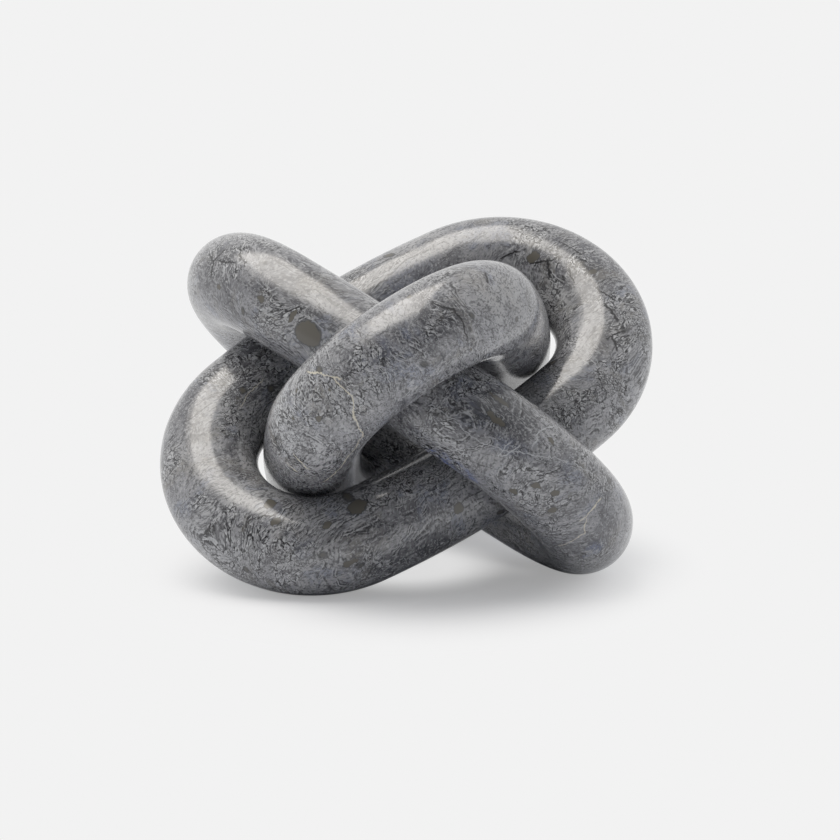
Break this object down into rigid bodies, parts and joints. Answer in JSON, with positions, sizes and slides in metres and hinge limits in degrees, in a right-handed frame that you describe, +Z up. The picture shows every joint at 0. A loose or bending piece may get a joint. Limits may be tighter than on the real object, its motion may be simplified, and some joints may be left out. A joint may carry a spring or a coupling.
{
  "type": "knot sculpture",
  "caption": "Ornament of equal oval links of round section, threaded through each other as a knot and carved from polished grey marble.",
  "frame": {"origin": "on the floor under the middle of the knot", "axes": "+Z up, the axis about which each link is the one before it turned a third of a turn; -Y the side to which the upper end of the front link leans"},
  "size_m": [0.1902, 0.1962, 0.1295],
  "materials": {
    "marble": "polished"
  },
  "bodies": {
    "root": {"front_link": "marble", "right_link": "marble", "left_link": "marble"}
  },
  "joints": []
}
